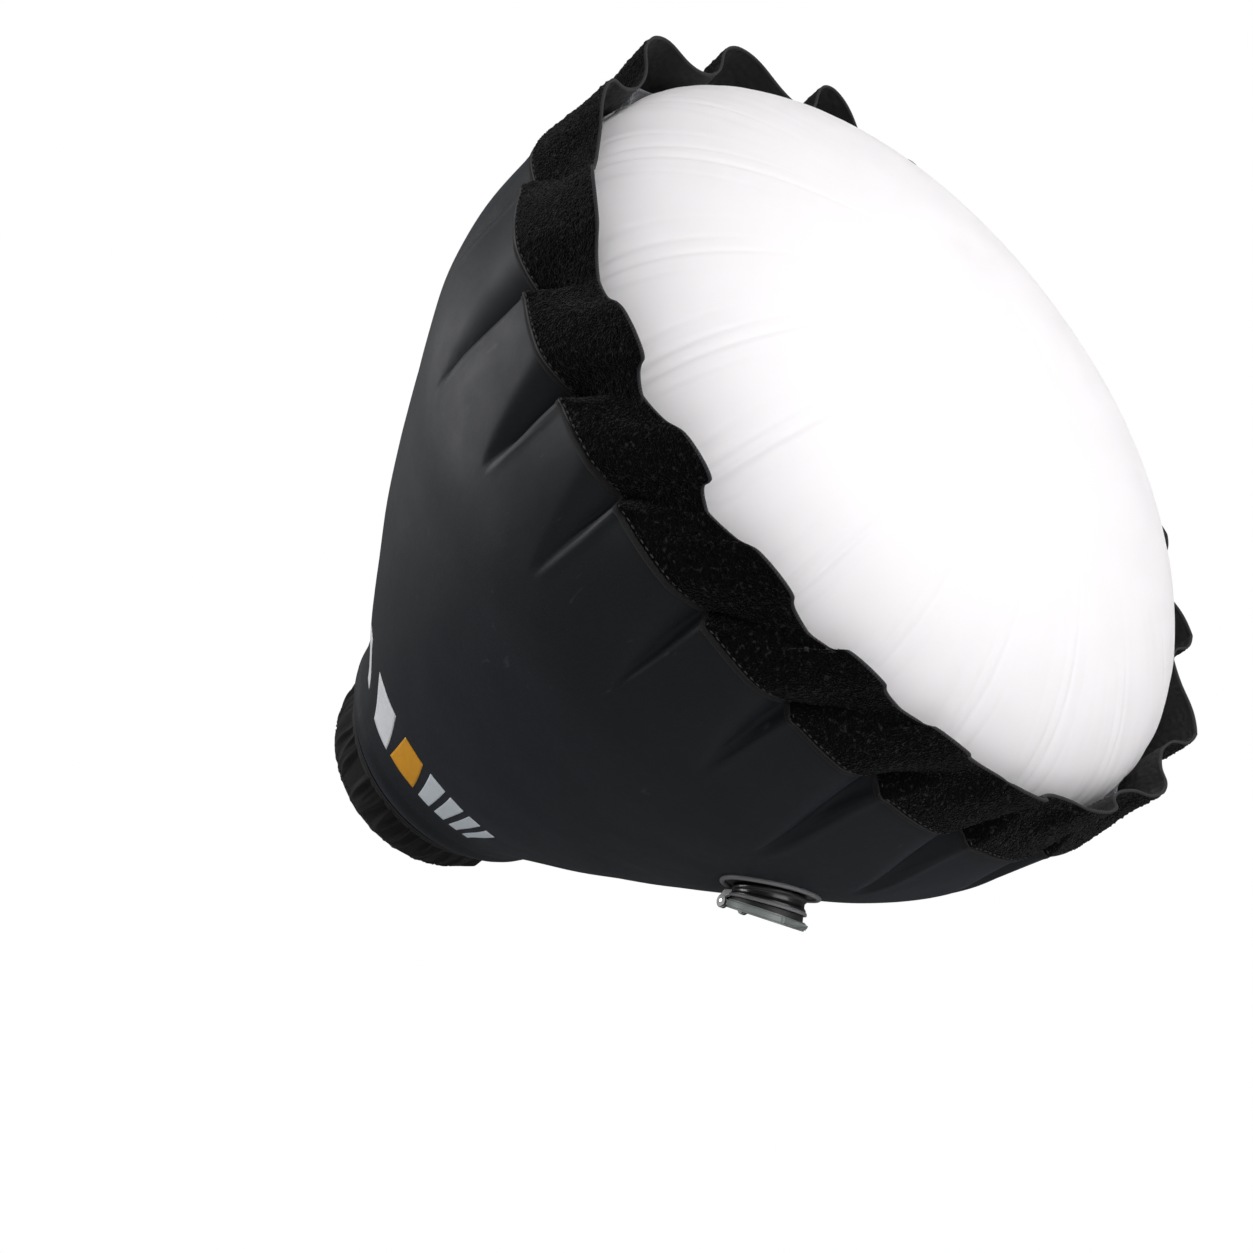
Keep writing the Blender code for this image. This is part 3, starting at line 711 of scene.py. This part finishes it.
def make_rim_trim():
    """The stitched tape under the ruffle's edge, and the clear weld allowance between ruffle and dome."""
    columns = WAVES * 32
    angle, share = np.meshgrid(around(columns), np.linspace(0, 1, 7))
    station = rim_station(angle) - 0.0034 + 0.0034 * share
    radius = shell_surface(angle, station) + 0.0006 + 0.0004 * np.sin(math.pi * share)
    add_cloth("seam_tape", on_axis(angle, radius, station), angle, RIM_RADIUS, 0.008 * share, "tape_back", 0.0004,
              "rim_binding")
    make_stitches("seam_stitching", WAVES * 20, band_stitch)

    columns = WAVES * 20
    angle, share = np.meshgrid(around(columns), np.linspace(0, 1, 9))
    creased = crease(wave_phase(angle))
    ripple = 0.0012 * round_noise_net(angle, 60, 2.0 * share, 8.0)
    inner = 0.2432 - FOLD_DEPTH * uneven_depth(angle) * creased * 0.75
    station = rim_station(angle) + 0.0125 + 0.0160 * share
    limit = within_band(angle, station, 0.0024, 6)
    inner = np.minimum(inner, limit - 0.0006)
    outer = np.minimum(limit, inner + 0.0065)
    radius = inner + (outer - inner) * share + ripple * share
    add_cloth("weld_allowance", on_axis(angle, radius, station), angle, RIM_RADIUS, 0.010 * share, "clear", 0.0005,
              "rim_weld_flange")


# ---- marks ------------------------------------------------------------------------------------------------------

def make_marks():
    """Plain bars and blocks, one of them orange, round the shoulder, printed on the shell."""
    # Each block is its ink, its two angles at the rear and its two at the front, and the shares of the printed
    # band where it starts and stops.
    blocks = (
        ("ink_white", (85.0, 80.5), (89.0, 84.0), 0.10, 0.90),
        ("ink_white", (70.0, 58.0), (73.5, 60.5), 0.05, 0.95),
        ("ink_orange", (55.5, 42.0), (54.5, 46.0), 0.08, 0.92),
        ("ink_pale", (39.0, 33.5), (43.0, 37.0), 0.08, 0.95),
        ("ink_pale", (31.0, 26.5), (35.0, 30.0), 0.08, 0.95),
        ("ink_pale", (24.0, 20.5), (28.0, 24.0), 0.08, 0.95),
        ("ink_pale", (18.0, 15.5), (22.0, 19.0), 0.08, 0.95),
    )
    rear, front = SHOULDER + 0.045, SHOULDER + 0.099
    for ink in ("ink_white", "ink_orange", "ink_pale"):
        points, faces = [], []
        for key, at_rear, at_front, start, stop in blocks:
            if key != ink:
                continue
            columns, rows = 15, 15
            across, along = np.meshgrid(np.linspace(0, 1, columns), np.linspace(start, stop, rows))
            onward = (along - start) / (stop - start)
            first = at_rear[0] + (at_front[0] - at_rear[0]) * onward
            last = at_rear[1] + (at_front[1] - at_rear[1]) * onward
            angle = last + (first - last) * across
            station = rear + (front - rear) * along
            radius = shell_surface(angle, station) + 0.00025
            base = len(points)
            points += on_axis(angle, radius, station).reshape(-1, 3).tolist()
            for row in range(rows - 1):
                for column in range(columns - 1):
                    corner = base + row * columns + column
                    faces.append((corner, corner + columns, corner + columns + 1, corner + 1))
        mesh = bpy.data.meshes.new("print_" + ink[4:])
        mesh.from_pydata(points, [], faces)
        piece = add_piece("print_" + ink[4:], mesh, ink)
        thicken(piece, 0.0002)


# ---- the collar -------------------------------------------------------------------------------------------------

def cuff_radius(station):
    share = np.clip((station - HEM_RADIUS) / (SHOULDER - HEM_RADIUS), 0, 1)
    return CUFF_REAR_RADIUS + (CUFF_FRONT_RADIUS - CUFF_REAR_RADIUS) * share**0.45


def make_cuff():
    columns, wall_rows, hem_rows = 640, 56, 22
    wall_station = np.linspace(SHOULDER - 0.0002, HEM_RADIUS, wall_rows)
    hem_turn = -np.radians(np.linspace(0, 275, hem_rows + 1)[1:])
    centre = CUFF_REAR_RADIUS - HEM_RADIUS
    profile_radius = np.concatenate([cuff_radius(wall_station), centre + HEM_RADIUS * np.cos(hem_turn)])
    profile_station = np.concatenate([wall_station, HEM_RADIUS + HEM_RADIUS * np.sin(hem_turn)])
    angle, radius = np.meshgrid(around(columns), profile_radius)
    station = np.repeat(profile_station[:, None], columns, axis=1)
    row = np.arange(wall_rows + hem_rows)[:, None] + 0 * angle
    # Uneven gathers run along the collar, puffed out between the shoulder seam and the elastic in the hem.
    wander = 3.0 * round_noise_net(angle, 9, 8.0 * station, 9.0)
    broad = round_noise_net(angle + wander, 46, 14.0 * station, 11.0)
    narrow = round_noise_net(angle + wander, 130, 30.0 * station, 12.0)
    share = np.clip((SHOULDER - station) / (SHOULDER - 2 * HEM_RADIUS), 0, 1)
    puffed = np.where(row < wall_rows, 0.30 + 0.70 * np.sin(math.pi * share) ** 0.7, 0.30)
    pleat = np.maximum(0.0048 * (1 - 1.8 * np.abs(broad)) + 0.0016 * narrow - 0.0022, -0.0002)
    radius = radius + pleat * puffed + 0.0010 * np.sin(math.pi * share) * (row < wall_rows)
    cuff = add_cloth("gathered_collar", on_axis(angle, radius, station), angle, 0.10,
                     station + 0.02 * (row >= wall_rows), "shirred", 0.0007, "neck_cuff")

    def hem_stitch(angle_here):
        here = np.array([angle_here])
        at = Vector(on_axis(here, cuff_radius(np.array([0.0098])) + 0.0008, np.array([0.0098]))[0])
        out = Vector((at.x, 0, at.z)).normalized()
        return at, Vector((0, 1, 0)).cross(out).normalized(), out

    make_stitches("hem_stitching", 120, hem_stitch, length=0.0024)

    columns = 320
    angle, share = np.meshgrid(around(columns), np.linspace(0, 1, 11))
    station = SHOULDER - 0.0062 + 0.0078 * share
    radius = np.where(station < SHOULDER, cuff_radius(station), shell_radius(station)) + 0.0012
    radius = radius + 0.0010 * np.sin(math.pi * share) + 0.0002 * round_noise_net(angle, 90, 3 * share, 10.0)
    add_cloth("shoulder_tape", on_axis(angle, radius, station), angle, 0.085, 0.008 * share, "tape_back", 0.0005,
              "shoulder_binding")
    return cuff


# ---- the valve --------------------------------------------------------------------------------------------------

def at_valve(turn, radius, height):
    return Vector((radius * math.cos(turn), radius * math.sin(turn), height))


def steps_round(count):
    return [math.tau * step / count for step in range(count)]


def skin(made, rings, closed=False):
    """Quads between neighbouring rings of vertices, and between the last ring and the first if it is closed."""
    for low, high in zip(rings, rings[1:] + (rings[:1] if closed else [])):
        for step in range(len(low)):
            after = (step + 1) % len(low)
            made.faces.new((low[step], low[after], high[after], high[step]))


def lathe_mesh(made, outline, columns=VALVE_RINGS, matrix=VALVE_FRAME, closed=True):
    """Adds an outline of (radius, height) points turned about the valve's axis to a bmesh."""
    skin(made, [
        [made.verts.new(matrix @ at_valve(turn, radius, height)) for turn in steps_round(columns)]
        for radius, height in outline
    ], closed)


def tube_ring(made, turn, radius, height, wide, tall, sides):
    """A tube's section, where the tube passes an angle round the valve's axis."""
    return [
        made.verts.new(VALVE_FRAME @ at_valve(turn, radius + wide * math.cos(tilt), height + tall * math.sin(tilt)))
        for tilt in steps_round(sides)
    ]


def rounded(points, radius=0.0005, steps=3):
    """An outline with each corner replaced by a small arc."""
    made = []
    count = len(points)
    for index in range(count):
        before, here, after = (Vector(points[(index + k) % count]) for k in (-1, 0, 1))
        to_before, to_after = before - here, after - here
        cut = min(radius, 0.45 * to_before.length, 0.45 * to_after.length)
        start, end = here + to_before.normalized() * cut, here + to_after.normalized() * cut
        for step in range(steps + 1):
            t = step / steps
            made.append(tuple(start * (1 - t) ** 2 + here * 2 * t * (1 - t) + end * t**2))
    return made


def add_made(name, made, material, stands_for=(), body="chamber", sharp=40):
    """Adds a bmesh as a piece. Edges sharper than this many degrees are shaded sharp, and none are if it is 0."""
    bmesh.ops.remove_doubles(made, verts=made.verts, dist=0.000005)
    bmesh.ops.recalc_face_normals(made, faces=made.faces)
    mesh = bpy.data.meshes.new(name)
    made.to_mesh(mesh)
    made.free()
    piece = add_piece(name, mesh, material, body, stands_for=stands_for)
    if sharp:
        mesh.set_sharp_from_angle(angle=math.radians(sharp))
    return piece


def shell_height(x, y):
    """How high the shell's surface stands in the valve's frame, at a place beside the valve."""
    low, high = -0.02, 0.02
    for _ in range(30):
        middle = (low + high) / 2
        at = VALVE_FRAME @ Vector((x, y, middle))
        angle = math.degrees(math.atan2(-at.x, -at.z))
        surface = shell_surface(np.array([angle]), np.array([-at.y]))[0]
        if math.hypot(at.x, at.z) > surface:
            high = middle
        else:
            low = middle
    return low


def make_flange():
    """The weld flange lies on the shell all round, with a thick rounded edge."""
    turns = steps_round(VALVE_RINGS)
    heights = [
        [shell_height(r * math.cos(turn), r * math.sin(turn)) for r in (0.0218, 0.0240, 0.0262)] for turn in turns
    ]
    made = bmesh.new()
    # Each section is a radius, a height, and which of the heights it stands on, if any.
    sections = ((0.0195, -0.0080, None), (0.0195, 0.0013, None), (0.0210, 0.0012, 0), (0.0240, 0.0009, 1),
                (0.0262, 0.0008, 2))
    rings = []
    for radius, height, follow in sections:
        lifts = [0.0 if follow is None else shell[follow] for shell in heights]
        rings.append([
            made.verts.new(VALVE_FRAME @ at_valve(turn, radius, height + lift)) for turn, lift in zip(turns, lifts)
        ])
    skin(made, rings)
    thicken(add_made("valve_weld_film", made, "valve_black", ["valve_flange"], sharp=0), 0.0007)

    made = bmesh.new()
    skin(made, [
        tube_ring(made, turn, 0.0264, shell[2] + 0.0010, 0.0016, 0.0014, 12) for turn, shell in zip(turns, heights)
    ], closed=True)
    add_made("valve_weld_edge", made, "valve_lip", sharp=0)


def plate_in_valve(made, outline, width, across, bevel):
    """A flat outline of (along, height) points, given a width along the valve's X and rounded edges."""
    plate = bmesh.new()
    ring = [plate.verts.new((across - width / 2, along, height)) for along, height in outline]
    face = plate.faces.new(ring)
    grown = bmesh.ops.extrude_face_region(plate, geom=[face])["geom"]
    bmesh.ops.translate(plate, vec=(width, 0, 0), verts=[g for g in grown if isinstance(g, bmesh.types.BMVert)])
    bmesh.ops.recalc_face_normals(plate, faces=plate.faces)
    rim = [edge for edge in plate.edges if abs(edge.calc_face_angle(0.0)) > math.radians(30)]
    bmesh.ops.bevel(plate, geom=rim, offset=bevel, segments=3, affect="EDGES", clamp_overlap=True)
    bmesh.ops.transform(plate, matrix=VALVE_FRAME, verts=plate.verts)
    mesh = bpy.data.meshes.new("plate")
    plate.to_mesh(mesh)
    plate.free()
    made.from_mesh(mesh)
    bpy.data.meshes.remove(mesh)


def boss_outline(along, height, radius, steps=20):
    return [(along + radius * math.cos(t), height + radius * math.sin(t)) for t in steps_round(steps)]


def sit_askew(made):
    """The valve's mouth isn't quite square to the shell: it stands higher at the front. The seat of the core
    stays level."""
    back = VALVE_FRAME.inverted()
    for vert in made.verts:
        local = back @ vert.co
        if math.hypot(local.x, local.y) < 0.0170 and local.z < 0.0075:
            continue
        local.z += BODY_SLOPE * local.y * min(max((local.z - 0.0035) / 0.004, 0.0), 1.0)
        vert.co = VALVE_FRAME @ local


def make_housing():
    made = bmesh.new()
    lathe_mesh(made, rounded([
        (0.0165, 0.0090), (0.0205, 0.0090), (0.0208, 0.0066), (0.0196, 0.0058), (0.0196, 0.0040),
        (0.0206, 0.0034), (0.0206, 0.0019), (0.0187, 0.0019), (0.0187, -0.0060), (0.0128, -0.0060),
        (0.0128, 0.0062), (0.0165, 0.0062),
    ], 0.0004))
    sit_askew(made)
    along, height = HINGE_LOCAL.y, HINGE_LOCAL.z
    for across in (-0.0082, 0.0082):
        plate_in_valve(made, boss_outline(along, height, 0.0040), 0.0034, across, 0.0007)
        foot = [(-0.0292, 0.0062), (-0.0262, 0.0022), (-0.0190, 0.0022), (-0.0190, 0.0058), (-0.0232, 0.0064),
                (-0.0262, 0.0105)]
        plate_in_valve(made, foot, 0.0030, across, 0.0005)
    add_made("valve_body", made, "valve_black", ["valve_housing"])

    # A pale grey ring round the body's mouth: a painted highlight on the mouth's rounded edge, made as a grey piece.
    made = bmesh.new()
    lathe_mesh(made, rounded([(0.0213, 0.0092), (0.0217, 0.0084), (0.0213, 0.0072), (0.0203, 0.0072),
                              (0.0203, 0.0092)], 0.0004))
    sit_askew(made)
    add_made("valve_mouth_highlight_ring", made, "valve_lip")


def cap_height(along, base):
    """The cap rises from the hinge to the pull tab, and its tab curls back."""
    share = (along + 0.031) / 0.062
    return base + CAP_RISE * (share - 0.5) - 0.0016 * max(0.0, (share - 0.82) / 0.18) ** 2


def arc(radius, first, last, steps=24):
    turns = (first + (last - first) * step / steps for step in range(steps + 1))
    return [(radius * math.cos(turn), radius * math.sin(turn)) for turn in turns]


def make_cap():
    """A squared tail over the hinge, a round plate over the valve, and a pointed pull tab."""
    radius, tail_half, tail_end = 0.0222, 0.0060, -0.0312
    tab_half, tab_end = 0.0078, 0.0312
    outline = [(tail_half, tail_end), (-tail_half, tail_end)]
    start = math.asin(tail_half / radius)
    stop = math.asin(tab_half / radius)
    outline += arc(radius, -math.pi / 2 - start, -1.5 * math.pi + stop)
    outline += [(-0.0054, 0.0262), (-0.0009, tab_end), (0.0009, tab_end), (0.0054, 0.0262)]
    outline += arc(radius, math.pi / 2 - stop, start - math.pi / 2)
    plate = bmesh.new()
    # The underside is hollowed over the core: top edge, bottom edge, edge of the hollow, its ceiling.
    shrink = [CAP_HOLLOW_RADIUS / math.hypot(x, y) for x, y in outline]
    hollow = [(x * share, y * share) for (x, y), share in zip(outline, shrink)]
    rings = [
        [plate.verts.new((x, y, height)) for x, y in path] for path, height in
        ((outline, CAP_TOP), (outline, CAP_BOTTOM), (hollow, CAP_BOTTOM), (hollow, CAP_HOLLOW_TOP))
    ]
    skin(plate, rings)
    plate.faces.new(rings[0])
    plate.faces.new(rings[-1])
    bmesh.ops.recalc_face_normals(plate, faces=plate.faces)
    bmesh.ops.bevel(plate, geom=[e for e in plate.edges if e.calc_face_angle(0.0) > math.radians(40)],
                    offset=0.0010, segments=3, affect="EDGES")
    cap_top = max(plate.faces, key=lambda f: f.calc_center_median().z)
    bmesh.ops.inset_region(plate, faces=[cap_top], thickness=0.0030, depth=0.0)
    bmesh.ops.inset_region(plate, faces=[cap_top], thickness=0.0006, depth=-0.0005)
    for vert in plate.verts:
        vert.co.z = cap_height(vert.co.y, vert.co.z)
        if vert.co.y > 0.0225:  # the tab thins to its tip
            share = (vert.co.y - 0.0225) / (tab_end - 0.0225)
            middle = cap_height(vert.co.y, 0.0144)
            vert.co.z = vert.co.z + (middle - vert.co.z) * 0.90 * share
    bmesh.ops.transform(plate, matrix=VALVE_FRAME, verts=plate.verts)
    knuckle = [(-0.0310, 0.0072), (-0.0310, 0.0050), (-0.0290, 0.0038), (-0.0250, 0.0038), (-0.0232, 0.0060),
               (-0.0228, 0.0088)]
    plate_in_valve(plate, knuckle, 0.0118, 0.0, 0.0007)
    add_made("flip_cap", plate, "cap", ["valve_cap"], "cap", 35)

    made = bmesh.new()
    lathe_mesh(made, rounded([(0.0198, 0.0), (0.0200, SEAL_DEPTH), (0.0168, SEAL_DEPTH), (0.0168, 0.0)], 0.0005))
    back = VALVE_FRAME.inverted()
    for vert in made.verts:  # from just over the body's mouth to just inside the cap
        local = back @ vert.co
        mouth = 0.0092 + BODY_SLOPE * local.y
        share = local.z / SEAL_DEPTH
        local.z = mouth + (cap_height(local.y, CAP_BOTTOM + 0.0004) - mouth) * share
        vert.co = VALVE_FRAME @ local
    add_made("cap_seal", made, "silicone", ["cap_gasket"], "cap")


def make_pin():
    made = bmesh.new()
    turn = Matrix.Translation(HINGE_LOCAL) @ Matrix.Rotation(math.pi / 2, 4, "Y")
    lathe_mesh(made, rounded([(0.0, 0.0101), (0.0012, 0.0101), (0.0015, 0.0098),
                              (0.0015, -0.0098), (0.0012, -0.0101), (0.0, -0.0101)], 0.0002),
               32, VALVE_FRAME @ turn, closed=False)
    add_made("hinge_pin", made, "steel", ["cap_hinge_pin"])


def make_spring():
    turns, low, high, radius, wire = 4.5, -0.0016, 0.0040, 0.0050, 0.00035
    made = bmesh.new()
    shares = [index / 149 for index in range(150)]
    rings = [
        tube_ring(made, math.tau * turns * share, radius, low + (high - low) * share, wire, wire, 8)
        for share in shares
    ]
    skin(made, rings)
    made.faces.new(rings[0])
    made.faces.new(rings[-1])
    spring = add_made("return_spring", made, "steel", ["stem_spring"], "core", 0)
    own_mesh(spring)


def dress_cad_nodes():
    """The frame's own parts whose shape is right keep it, and take a full material."""
    keep = {
        "valve_core": "valve_black", "core_o_ring": "silicone", "valve_stem": "valve_lip",
        "valve_diaphragm": "silicone", "stem_retainer": "steel", "cuff_elastic": "silicone",
        "cuff_grip_band": "silicone", "window_ring": "hoop", "rear_window": "clear",
    }
    for node, key in keep.items():
        part = frame["nodes"][node]
        for slot in part.material_slots:
            slot.material = looks[key]


# ---- stage ------------------------------------------------------------------------------------------------------

def make_stage():
    scene = bpy.context.scene
    camera = bpy.data.objects.new("camera", bpy.data.cameras.new("camera"))
    scene.collection.objects.link(camera)
    camera.data.lens = CAMERA_LENS
    camera.data.sensor_width = 36.0
    camera.location = CAMERA_PLACE
    look_up = Matrix.Rotation(math.pi / 2 + CAMERA_ELEVATION, 4, "X")
    turn = Matrix.Rotation(CAMERA_AZIMUTH, 4, "Z")
    roll = Matrix.Rotation(CAMERA_ROLL, 4, "Z")
    camera.rotation_euler = (turn @ look_up @ roll).to_euler()
    scene.camera = camera

    mesh = bpy.data.meshes.new("floor")
    made = bmesh.new()
    bmesh.ops.create_grid(made, x_segments=1, y_segments=1, size=12.0,
                          matrix=Matrix.Translation((0, 0, -1.05)))
    made.to_mesh(mesh)
    made.free()
    floor = bpy.data.objects.new("floor", mesh)
    floor.data.materials.append(looks["floor"])
    scene.collection.objects.link(floor)

    world = bpy.data.worlds.new("studio")
    scene.world = world
    world.use_nodes = True
    # The backdrop is white to look at, and lights the object only as a dim room would.
    tree = world.node_tree
    lit = tree.nodes["Background"]
    lit.inputs["Color"].default_value = (0.97, 0.98, 1.0, 1.0)
    lit.inputs["Strength"].default_value = 0.09
    seen = tree.nodes.new("ShaderNodeBackground")
    seen.inputs["Color"].default_value = (1.0, 1.0, 1.0, 1.0)
    path = tree.nodes.new("ShaderNodeLightPath")
    mix = tree.nodes.new("ShaderNodeMixShader")
    tree.links.new(path.outputs["Is Camera Ray"], mix.inputs["Fac"])
    tree.links.new(lit.outputs["Background"], mix.inputs[1])
    tree.links.new(seen.outputs["Background"], mix.inputs[2])
    tree.links.new(mix.outputs["Shader"], tree.nodes["World Output"].inputs["Surface"])

    # Each light is its name, place, side length and power. All of them face one point.
    aim = Vector((0, -0.28, 0))
    lights = (
        ("key", (-1.35, 0.85, 0.95), 1.1, 25.0),
        ("front", (-0.25, -2.6, 0.05), 2.2, 66.0),
    )
    for name, place, size, power in lights:
        light = bpy.data.lights.new(name, "AREA")
        light.shape = "SQUARE"
        light.size = size
        light.energy = power
        lamp = bpy.data.objects.new(name, light)
        lamp.location = place
        lamp.rotation_euler = (aim - Vector(place)).to_track_quat("-Z", "Y").to_euler()
        scene.collection.objects.link(lamp)
    scene.view_settings.view_transform = "Standard"


make_stage()
shell, lining = make_shell()
dome = make_dome()
band = make_band()
make_rim_trim()
make_marks()
cuff = make_cuff()
make_flange()
make_housing()
make_cap()
make_pin()
make_spring()
dress_cad_nodes()
